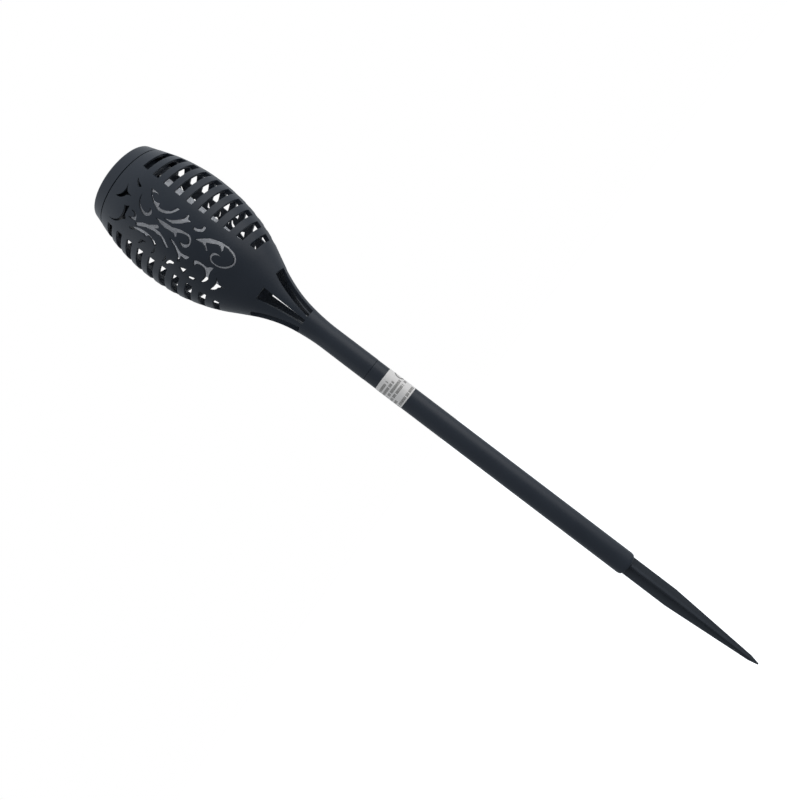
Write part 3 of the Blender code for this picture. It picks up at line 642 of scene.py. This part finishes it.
def swollen(outline, by):
    """An outline with each corner moved outwards."""
    out = []
    for before, here, after in zip(outline[-1:] + outline[:-1], outline, outline[1:] + outline[:1]):
        sides = [Vector((way.y, -way.x)) for way in ((here - before).normalized(), (after - here).normalized())]
        outwards = sides[0] + sides[1]
        out.append(here + outwards * (by / max(outwards.length_squared / 2, MITRE)))
    return out


def scroll_outline(points):
    """A scroll opening's corners and arcs as one closed outline."""
    outline = []
    for (x, z, bulge), (next_x, next_z, _) in zip(points, points[1:] + points[:1]):
        outline += arc((x, z + PANEL_DATUM), (next_x, next_z + PANEL_DATUM), bulge)
    return blunted(swollen(outline, SWELL))


def flat_quad(low_azimuths, high_azimuths, low, high, corner=0.0):
    """The flat outline of a quadrilateral between two heights, from the azimuths of its ends."""
    points = [(flat_x(a), low, corner) for a in low_azimuths]
    points += [(flat_x(a), high, corner) for a in reversed(high_azimuths)]
    return filleted(points, closed=True, steps=3)


def slot_reach(z):
    """The azimuths between which a slot runs at a height."""
    radius = shell_radius(z)
    return math.degrees(math.asin(SCROLL_HALF / radius)), math.degrees(math.acos(STRUT_HALF / radius))


def shell_openings(drop):
    """Every opening of one half shell, drawn flat, with its slots moved down by drop."""
    openings = [scroll_outline(points) for points in SCROLLS.values()]
    for row in range(SLOT_ROWS):
        low = TOP_SLOT - drop - row * SLOT_PITCH - SLOT_TALL / 2
        high = low + SLOT_TALL
        for side in (-1, 1):
            ends = [sorted(side * azimuth for azimuth in slot_reach(z)) for z in (low, high)]
            openings.append(flat_quad(*ends, low, high, CORNER_ROUND))
    for low_end, high_end in WINDOWS:
        openings.append(flat_quad(low_end, high_end, WINDOW_LOW, WINDOW_HIGH, CORNER_ROUND))
    return openings


def flat_plate(outline, openings):
    """A plate as thick as the wall, with rounded edges round its openings, from a filled flat curve."""
    drawing = bpy.data.curves.new("flat_drawing", "CURVE")
    drawing.dimensions = "2D"
    drawing.fill_mode = "BOTH"
    drawing.extrude = WALL / 2 - EDGE_ROUND
    drawing.bevel_depth = EDGE_ROUND
    drawing.bevel_resolution = 1
    drawing.offset = -EDGE_ROUND
    for points in [outline] + openings:
        line = drawing.splines.new("POLY")
        line.points.add(len(points) - 1)
        for spot, (x, y) in zip(line.points, points):
            spot.co = (x, y, 0, 1)
        line.use_cyclic_u = True
    return from_curve(drawing)


def shell_half(name, paint, turn, drop):
    """One half of the head: the flat plate bent round the axis to the flame's outline."""
    bm = flat_plate(flat_quad((-90, 90), (-90, 90), SHELL_LOW, SHELL_TOP), shell_openings(drop))
    columns = round(180 / COLUMN_DEG)
    cuts = [((flat_x(COLUMN_DEG * i - 90), 0, 0), (1, 0, 0)) for i in range(1, columns)]
    rows = round((SHELL_TOP - WINDOW_LOW + 20) / ROW_TALL)
    levels = [NECK_LOW - SHOULDER, NECK_LOW] + [SHELL_TOP - ROW_TALL * i for i in range(1, rows)]
    cuts += [((0, z, 0), (0, 1, 0)) for z in levels]
    for place, normal in cuts:
        halved = bmesh.ops.bisect_plane(bm, geom=bm.verts[:] + bm.edges[:] + bm.faces[:], dist=1e-4,
                                        plane_co=place, plane_no=normal)
        for edge_cut in halved["geom_cut"]:
            if isinstance(edge_cut, bmesh.types.BMEdge):
                edge_cut.seam = True
    bmesh.ops.dissolve_limit(bm, angle_limit=math.radians(1), verts=[], edges=bm.edges[:], delimit={"SEAM"})
    bmesh.ops.dissolve_verts(bm, verts=[vert for vert in bm.verts if len(vert.link_edges) == 2])
    for vert in bm.verts:
        depth, azimuth = 0.5 - vert.co.z / WALL, math.degrees(vert.co.x / FLAT_R)
        outer, inner = wall_radii(vert.co.y, azimuth)
        surface = Vector(polar(outer, azimuth))
        x, y = surface + (Vector(polar(inner, drawn_azimuth(azimuth, outer, inner))) - surface) * depth
        vert.co = (x, y - PARTING, vert.co.y)
    bmesh.ops.recalc_face_normals(bm, faces=bm.faces)
    bmesh.ops.rotate(bm, cent=(0, 0, 0), matrix=Matrix.Rotation(math.radians(turn), 3, "Z"), verts=bm.verts)
    return piece(name + "_moulding", bm, paint, "head", name, weighted=True)


# ---------------------------------------------------------------- pole and stake

def pole(paint, label_paint):
    """The tube with its rounded lower end, and the label that wraps it."""
    bore = 6.2
    tube = [(bore, POLE_TOP, 0), (POLE_R, POLE_TOP, 0.35), (POLE_R, 2.4, 2.6), (7.7, 0.75, 0.7), (6.8, 0.0, 0.3),
            (bore, 0.0, 0.2)]
    piece("pole_barrel", turned(tube, 128, closed=True, steps=6), paint, "pole", "pole_tube", weighted=True)
    inner, outer = POLE_R + 0.03, POLE_R + 0.13
    wrap = [(inner, LABEL_TOP, 0), (outer, LABEL_TOP, 0.04), (outer, LABEL_LOW, 0.04), (inner, LABEL_LOW, 0)]
    piece("pole_wrap", turned(wrap, 128, closed=True, steps=2), label_paint, "pole", "pole_label", weighted=True)


def ground_stake(paint):
    """Four fins that taper to a point, with rounded edges and the plug above them."""
    turn = math.radians(24.0)
    thin, wide, plug = 0.8, 6.5, 5.9
    stations = [(PLUG_TOP, plug - 1.0, thin), (PLUG_TOP - 2, plug, thin), (-0.3, plug, thin), (-0.8, wide, thin),
                (-35.5, wide, thin), (-100.0, 1.9, thin * 0.8), (STAKE_TIP, 0.5, 0.3)]
    bm = bmesh.new()
    loops = []
    for z, reach, half in stations:
        corners_of_fin = [(reach, -half), (reach, half), (half, half)]
        ring = [Matrix.Rotation(math.pi / 2 * i + turn, 2) @ Vector(c) for i in range(4) for c in corners_of_fin]
        verts = [bm.verts.new((x, y, z)) for x, y in ring]
        loops.append([bm.edges.new(pair) for pair in zip(verts, verts[1:] + verts[:1])])
    for upper, lower in zip(loops, loops[1:]):
        bmesh.ops.bridge_loops(bm, edges=upper + lower)
    bmesh.ops.contextual_create(bm, geom=loops[0])
    bmesh.ops.contextual_create(bm, geom=loops[-1])
    joined(bm)
    ridges = [e for e in bm.edges if e.is_manifold and e.calc_face_angle() > math.radians(40)]
    bmesh.ops.bevel(bm, geom=ridges, offset=0.42, segments=3, profile=0.5, affect="EDGES", material=-1,
                    clamp_overlap=True)
    piece("stake_fins", bm, paint, "stake", "ground_stake", weighted=True)


# ---------------------------------------------------------------- the lamp unit

def cap(paint):
    """The lid: a shallow drum that follows the shell's slope, with a square recess for the panel."""
    ceiling, rim_low = CAP_TOP - 4.5, corners("seal_ring")[0].z + 0.3
    groove_r, groove_top = HOUSING_R + 0.3, SEAL_TOP + 0.3
    lip = corners("seal_ring")[1].x + 0.3
    outline = [(0, CAP_TOP, 0), (27.8, CAP_TOP, 1.8), (CAP_R, rim_low, 0.25), (lip, rim_low, 0.2),
               (lip, groove_top, 0), (groove_r, groove_top, 0.2), (groove_r, ceiling, 0.4), (0, ceiling, 0)]
    half = PANEL_HALF + 0.3
    recess = block((-half, -half, CAP_TOP - 2.8), (half, half, CAP_TOP + 5), 0.8, 4)
    wire_holes = [at(rod(1.0, ceiling - 1, CAP_TOP), x, -3.0) for x in (-3.0, 3.0)]
    lid = carved(turned(outline, 128, steps=6), recess, *wire_holes)
    piece("cap_moulding", lid, paint, "lamp", "cap", weighted=True)


def screw_places():
    """The x and y of the three housing screws."""
    return [tuple(middle(f"screw_{i}").xy) for i in (1, 2, 3)]


def screw_bosses(paint):
    """The three posts under the cap that take the housing's screws."""
    high, low, hole, wide = CAP_TOP - 4.6, 390.0, 1.3, 2.4
    for i, (x, y) in enumerate(screw_places(), 1):
        post = [(hole, high, 0), (wide, high, 0), (wide, low, 0.3), (hole, low, 0.2)]
        piece(f"cap_post_{i}", at(turned(post, 32, closed=True, steps=3), x, y), paint, "lamp", "cap")


def seal_ring(paint):
    """The rubber ring with its soft edges."""
    inner, outer, soft = 27.0, corners("seal_ring")[1].x, 0.3
    ring = [(inner, SEAL_TOP, soft), (outer, SEAL_TOP, soft), (outer, SEAL_LOW, soft), (inner, SEAL_LOW, soft)]
    piece("seal_bead", turned(ring, 128, closed=True, steps=4), paint, "seal", "seal_ring")


def solar_panel(paint):
    """A resin slab whose top sinks a little over each of four cell strips."""
    strips, border, seam, sink = 4, 1.2, 0.22, 0.1
    bm = block((-PANEL_HALF, -PANEL_HALF, PANEL_LOW), (PANEL_HALF, PANEL_HALF, PANEL_TOP), 0.3)
    top = max(bm.faces, key=lambda face: face.calc_center_median().z)
    bmesh.ops.inset_region(bm, faces=[top], thickness=border, depth=0)
    cells = [top]
    wide = 2 * (PANEL_HALF - border - 0.3)
    for i in range(1, strips):
        around = set(cells)
        around |= {edge for face in cells for edge in face.edges} | {vert for face in cells for vert in face.verts}
        bmesh.ops.bisect_plane(bm, geom=list(around), dist=1e-4, plane_co=(wide * (i / strips - 0.5), 0, 0),
                               plane_no=(1, 0, 0))
        reach = PANEL_HALF - border - 0.2
        cells = [face for face in bm.faces if face.normal.z > 0.99 and abs(face.calc_center_median().x) < reach
                 and abs(face.calc_center_median().y) < reach]
    bmesh.ops.inset_individual(bm, faces=cells, thickness=seam, depth=0)
    bmesh.ops.inset_individual(bm, faces=cells, thickness=0.08, depth=-sink)
    piece("solar_slab", bm, paint, "lamp", "solar_panel", sharp=25.0)


def lamp_housing(paint):
    """The cup under the cap, its collar, and the openings in its floor."""
    wall, collar_r, low = 1.6, 18.0, DIFFUSER_TOP + 0.3
    floor, bore = low + wall, HOUSING_R - wall
    cup = [(0, floor, 0), (bore, floor, 0.8), (bore, HOUSING_TOP, 0.3), (HOUSING_R, HOUSING_TOP, 0.3),
           (HOUSING_R, low, 1.6), (collar_r, low, 0.4), (collar_r, COLLAR_LOW, 0.4),
           (collar_r - wall, COLLAR_LOW, 0.3), (collar_r - wall, low, 0.3), (0, low, 0)]
    under, over, clear = low - 1, floor + 1, 0.3
    cutters = [at(rod(1.4, under, over), x, y) for x, y in screw_places()]
    strip, knob = corners("led_board")[1], middle("switch_knob")
    cutters.append(block((-strip.x - clear, -strip.y - clear, under), (strip.x + clear, strip.y + clear, over)))
    reach, deep = 3.0, 1.4
    cutters.append(block((-reach, knob.y - deep, under), (reach, knob.y + deep, over), 0.3))
    piece("housing_cup", carved(turned(cup, 128), *cutters), paint, "lamp", "lamp_housing", weighted=True)


def housing_screws(paint):
    """Pan-head screws with a cross recess."""
    low, end = corners("screw_1")[0].z, corners("screw_1")[1].z
    seat, crest, root, pitch, head = low + 1.2, 1.0, 0.74, 0.8, 1.8
    thread = []
    for i in range(round((end - 1.6 - seat) / pitch)):
        z = end - 1.2 - pitch * i
        thread += [(root, z, 0), (crest, z - pitch / 2, 0)]
    body = [(0, end, 0), (0.4, end, 0)] + thread + [(root, seat, 0), (head, seat, 0.12), (head, low + 0.5, 0.3),
                                                   (head - 0.6, low, 0.3), (0, low, 0)]
    for i, (x, y) in enumerate(screw_places(), 1):
        slots = [at(block((-a, -b, low - 1), (a, b, low + 0.7)), x, y) for a, b in ((1.05, 0.24), (0.24, 1.05))]
        piece(f"screw_{i}_pan_head", carved(at(turned(body, 32), x, y), *slots), paint, "lamp", f"screw_{i}")


def diffuser(paint):
    """The frosted cup, with a thick rim at the collar and a rounded closed end."""
    wall, low_r, low, bead = 1.2, 15.7, DIFFUSER_LOW, 0.35
    rim = DIFFUSER_TOP - 2.5
    cup = [(0, low + wall, 0), (low_r - wall, low + wall, 1.8), (DIFFUSER_R - wall, DIFFUSER_TOP, bead),
           (DIFFUSER_R, DIFFUSER_TOP, bead), (DIFFUSER_R, rim, 0.2), (DIFFUSER_R - 0.15, rim - 0.3, 0.2),
           (low_r, low, 2.6), (0, low, 0)]
    piece("diffuser_cup", turned(cup, 128, steps=8), paint, "lamp", "diffuser", weighted=True)


def battery(sleeve, steel):
    """The cell with its sleeve, its rolled groove and its nub, between its two contacts."""
    place, half, r, nub = middle("battery"), 14.25, 5.0, 1.9
    tip = half + 1.2
    can = [(0, tip, 0), (nub, tip, 0.3), (nub, half + 0.05, 0.15), (r - 0.9, half, 0), (r, half, 0.5),
           (r, half - 2.6, 0.2), (r - 0.25, half - 3.1, 0.2), (r, half - 3.6, 0.2), (r, -half, 0.5), (0, -half, 0)]
    piece("cell", at(along_x(turned(can, 64)), 0, place.y, place.z), sleeve, "lamp", "battery", weighted=True)
    low, high = corners("contact_plate")
    leaf = block(low, high, 0.12, 2)
    dimple = turned([(0, 0.0, 0), (1.6, 0.0, 0), (1.6, -0.2, 0.15), (0, -0.2, 0)], 32)
    at(along_x(dimple), low.x, place.y, place.z)
    piece("contact_leaf", merged((leaf, 0), (dimple, 0)), steel, "lamp", "contact_plate")
    gap, wire_r, turns, long, tip_r, base_r = 0.3, 0.35, 3, 3.0, 2.2, 3.2
    steps = 24 * turns
    coil = []
    for i in range(steps + 1):
        t = i / steps
        reach, angle = tip_r + (base_r - tip_r) * t, 2 * math.pi * turns * t
        coil.append((-half - gap - wire_r - long * t, place.y + reach * math.cos(angle),
                     place.z + reach * math.sin(angle)))
    piece("contact_coil", tube(coil, wire_r), steel, "lamp", "contact_spring", sharp=60.0)


def chip(name, low, high, paints):
    """A small flat chip with four bent legs on each long side."""
    body = block(low + Vector((0, 0.5, 0.1)), high - Vector((0, 0.5, 0)), 0.12, 2)
    shapes = [(body, 0)]
    pitch, wide = (high.x - low.x) / 4, 0.2
    for i in range(4):
        x = low.x + pitch * (i + 0.5)
        for side, edge in ((-1, low.y), (1, high.y)):
            foot = sorted((edge, edge - side * 0.35))
            leg = sorted((edge - side * 0.28, edge - side * 0.55))
            shapes.append((block((x - wide, foot[0], low.z), (x + wide, foot[1], low.z + 0.15), 0.04, 1), 1))
            shapes.append((block((x - wide, leg[0], low.z + 0.03), (x + wide, leg[1], low.z + 0.7), 0.04, 1), 1))
    piece(name, merged(*shapes), paints, "lamp", "control_chip")


def control_board(board, black, steel, copper):
    """The board with its holes, its driver chip, its boost coil and a few small parts."""
    low, high = corners("control_board")
    holes = [at(rod(0.9, low.z - 1, high.z + 1), x, (low.y + high.y) / 2) for x in (low.x + 1.8, high.x - 1.8)]
    piece("control_board_plate", carved(block(low, high, 0.1, 2), *holes), board, "lamp", "control_board")
    chip("driver_chip", *corners("control_chip"), [black, steel])
    base, place = corners("inductor")[0].z, middle("inductor")
    core_r, neck_r, tall = 2.5, 1.7, 6.0
    core = [(0, tall, 0), (core_r, tall, 0.15), (core_r, tall - 1, 0.15), (neck_r, tall - 1.3, 0),
            (neck_r, 1.3, 0), (core_r, 1.0, 0.15), (core_r, 0, 0.15), (0, 0, 0)]
    shapes = [(at(turned(core, 48), place.x, place.y, base), 0)]
    turns, wire_r = 9, 0.18
    for i in range(turns):
        z = 1.5 + (tall - 3.0) * i / (turns - 1)
        ring = [(neck_r + wire_r * (1 + math.cos(a)), z + wire_r * math.sin(a), 0)
                for a in (math.radians(60 * k) for k in range(6))]
        shapes.append((at(turned(ring, 32, closed=True), place.x, place.y, base), 1))
    piece("boost_coil", merged(*shapes), [black, copper], "lamp", "inductor")
    for i, (x, y) in enumerate(((-0.6, 2.6), (-0.6, 0.6), (0.9, 1.6), (-0.6, -1.6), (1.2, -2.8)), 1):
        y, z = place.y + y, high.z + 0.02
        body = block((x - 0.5, y - 0.4, z), (x + 0.5, y + 0.4, z + 0.45), 0.05, 1)
        ends = [block((x + a, y - 0.41, z), (x + b, y + 0.41, z + 0.47), 0.05, 1)
                for a, b in ((-0.8, -0.5), (0.5, 0.8))]
        piece(f"board_resistor_{i}", merged((body, 0), (ends[0], 1), (ends[1], 1)), [black, steel], "lamp",
              "control_board")


def wire_path(points, steps=8):
    """A smooth curve through points, as a list of points on it."""
    points = [Vector(point) for point in points]
    ends = [points[0] * 2 - points[1]] + points + [points[-1] * 2 - points[-2]]
    path = []
    for a, b, c, d in zip(ends, ends[1:], ends[2:], ends[3:]):
        for i in range(steps):
            t = i / steps
            path.append((b * 2 + (c - a) * t + (a * 2 - b * 5 + c * 4 - d) * t**2
                         + (b * 3 - a - c * 3 + d) * t**3) / 2)
    return path + [points[-1]]


def wires(paints):
    """The two pairs of insulated wires: panel to board, and board to LED strip."""
    radius, seat, deck = 0.5, corners("control_chip")[0].z, CAP_TOP - 2.6
    for side, colour in ((1, "red"), (-1, "black")):
        down = [(3 * side, -3, deck), (3 * side, -3, 404.5), (6 * side, -2.6, 399.5), (4 * side, -4.6, 394.5),
                (3 * side, -5, seat)]
        over = [(9 * side, -5.5, seat), (9 * side, -5.3, 394.5), (7.6 * side, -3.8, 396.2),
                (5.5 * side, -2.4, 394.6), (5 * side, -1.0, 393.0)]
        for kind, route in (("panel", down), ("led", over)):
            name = f"{kind}_wire_{colour}"
            piece(f"{name}_lead", tube(wire_path(route), radius), paints[colour], "lamp", name, sharp=60.0)


def led_strip(board, case, phosphor):
    """The strip board and its twelve LEDs, each a white case round a sunken amber window."""
    low, high = corners("led_board")
    piece("led_strip_board", block(low, high, 0.12, 2), board, "lamp", "led_board")
    for i in range(1, 13):
        name = f"led_{i:02d}"
        bm = block(*corners(name), 0.12, 2)
        outwards = math.copysign(1, middle(name).y)
        front = max(bm.faces, key=lambda face: face.calc_center_median().y * outwards)
        bmesh.ops.inset_region(bm, faces=[front], thickness=0.35, depth=0)
        bmesh.ops.inset_region(bm, faces=[front], thickness=0.2, depth=-0.15)
        front.material_index = 1
        piece(f"{name}_case", bm, [case, phosphor], "lamp", name, sharp=25.0)


def slide_switch(black, steel, knob_paint):
    """The switch's case with three pins, and the ridged knob."""
    low, high = corners("switch_body")
    shapes = [(block(low, high, 0.2, 2), 0)]
    y = (low.y + high.y) / 2
    shapes += [(at(rod(0.3, high.z - 0.2, high.z + 1.8, 16), x, y), 1) for x in (-2.5, 0.0, 2.5)]
    piece("switch_case", merged(*shapes), [black, steel], "lamp", "switch_body")
    low, high = corners("switch_knob")
    groove, deep = 0.42, 0.5
    x = (low.x + high.x) / 2
    grooves = [block((x + side * 0.5 - groove / 2, low.y - 1, low.z - 1),
                     (x + side * 0.5 + groove / 2, high.y + 1, low.z + deep)) for side in (-1, 1)]
    piece("switch_thumb", carved(block(low, high, 0.3, 3), *grooves), knob_paint, "switch", "switch_knob")


def foam_pad(paint):
    """The adhesive foam frame keeps its own shape and takes a foam finish."""
    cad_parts["panel_pad"].material_slots[0].material = paint


def build():
    charcoal = moulded_plastic("charcoal_plastic", (0.0210, 0.0275, 0.0390), (0.0280, 0.0355, 0.0490), 0.42,
                               Specular_IOR_Level=0.34)
    housing = moulded_plastic("housing_plastic", (0.020, 0.026, 0.036), (0.026, 0.033, 0.045), 0.36, depth=0.005)
    white = moulded_plastic("led_case_white", (0.70, 0.70, 0.68), (0.80, 0.80, 0.78), 0.40, depth=0.003)
    knob = moulded_plastic("knob_plastic", (0.50, 0.50, 0.50), (0.60, 0.60, 0.60), 0.38, depth=0.005)
    black, steel, board = component_black(), plated_steel(), circuit_board()
    shell_half("head_shell_front", charcoal, 0, 0.0)
    shell_half("head_shell_rear", charcoal, 180, REAR_DROP)
    pole(charcoal, label_paper())
    # The stake takes the charcoal plastic painted about 1.6 times lighter: painted light standing in for light the
    # stake catches.
    ground_stake(moulded_plastic("stake_plastic_painted_lighter", (0.034, 0.041, 0.052), (0.043, 0.051, 0.064), 0.46,
                                 Specular_IOR_Level=0.45))
    seal_ring(rubber("seal_rubber", (0.010, 0.010, 0.011)))
    cap(charcoal)
    screw_bosses(charcoal)
    solar_panel(solar_laminate())
    foam_pad(rubber("foam_pad", (0.35, 0.35, 0.34)))
    lamp_housing(housing)
    housing_screws(steel)
    diffuser(frosted_plastic())
    battery(cell_wrap(), steel)
    control_board(board, black, steel, insulation("copper_enamel", (0.55, 0.22, 0.06)))
    led_strip(board, white, led_amber())
    wires({"red": insulation("wire_red", (0.50, 0.015, 0.012)),
           "black": insulation("wire_black", (0.014, 0.014, 0.015))})
    slide_switch(black, steel, knob)


build()

# ---------------------------------------------------------------- studio and camera

def studio():
    world = bpy.data.worlds.new("studio")
    world.use_nodes = True
    sky = Shading(world.node_tree)
    way = sky.node("ShaderNodeSeparateXYZ", {}, {0: sky.node("ShaderNodeTexCoord", output="Generated")})
    ahead, up = (Value(sky, way.socket.node.outputs[axis]) for axis in ("Y", "Z"))
    level, from_behind, from_above = 0.29, 0.34, 0.62
    light = ahead.max(0.0) * from_behind + up.max(0.0) * from_above + level
    soft = sky.node("ShaderNodeBackground", {}, {"Color": (0.90, 0.95, 1.0, 1.0), "Strength": light})
    seen = sky.node("ShaderNodeBackground", {}, {"Color": (1.0, 1.0, 1.0, 1.0)})
    rays = sky.node("ShaderNodeLightPath")
    shown = sky.node("ShaderNodeMixShader", {}, [rays, soft, seen])
    sky.tree.links.new(shown.socket, sky.tree.nodes["World Output"].inputs["Surface"])
    bpy.context.scene.world = world
    bpy.context.scene.view_settings.view_transform = "Standard"
    bm = bmesh.new()
    bmesh.ops.create_circle(bm, cap_ends=True, segments=64, radius=6.0)
    bmesh.ops.translate(bm, vec=(0, 0, STAKE_TIP * MM - 0.15), verts=bm.verts)
    mesh = bpy.data.meshes.new("floor")
    bm.to_mesh(mesh)
    bm.free()
    pale = Paint("floor_pale", Emission_Color=(1.0, 1.0, 1.0), Emission_Strength=0.55)
    pale.feed(Base_Color=pale.mix(pale.noise(80, 2.0), (0.93, 0.93, 0.93), (0.95, 0.95, 0.95)),
              Roughness=pale.noise(30, 2.0) * 0.1 + 0.7)
    mesh.materials.append(pale.material)
    floor = bpy.data.objects.new("floor", mesh)
    bpy.context.scene.collection.objects.link(floor)
    floor.visible_diffuse = False
    floor.visible_glossy = False


def soft_light(name, azimuth, height, distance, size, power):
    """A square soft light that looks at the middle of the torch."""
    lamp = bpy.data.lights.new(name, "AREA")
    lamp.size = size
    lamp.energy = power
    made = bpy.data.objects.new(name, lamp)
    target = Vector((0, 0, 0.2))
    made.location = Vector((*polar(distance, azimuth), height))
    made.rotation_euler = (made.location - target).to_track_quat("Z", "Y").to_euler()
    bpy.context.scene.collection.objects.link(made)


def camera():
    """The camera, level with the pole's top and rolled so that the upright torch lies across the frame."""
    azimuth, lie, distance, lens = 12.5, 37.24, 0.545, 37.8
    aside, height = -0.0042, 0.1818
    across = Vector((*polar(1, azimuth + 90), 0))
    up_torch = Vector((0, 0, 1))
    back = Vector((*polar(1, azimuth), 0))
    tilt = math.radians(lie)
    right = across * math.sin(tilt) - up_torch * math.cos(tilt)
    up = across * math.cos(tilt) + up_torch * math.sin(tilt)
    place = back * distance + across * aside + up_torch * height
    lens_data = bpy.data.cameras.new("camera")
    lens_data.lens = lens
    lens_data.sensor_width = 36.0
    made = bpy.data.objects.new("camera", lens_data)
    made.matrix_world = Matrix((right, up, back)).transposed().to_4x4()
    made.matrix_world.translation = place
    bpy.context.scene.collection.objects.link(made)
    bpy.context.scene.camera = made


studio()
soft_light("key", 80, 0.25, 0.9, 0.9, 3.6)
soft_light("fill", -70, 0.7, 1.1, 0.8, 1.2)
camera()
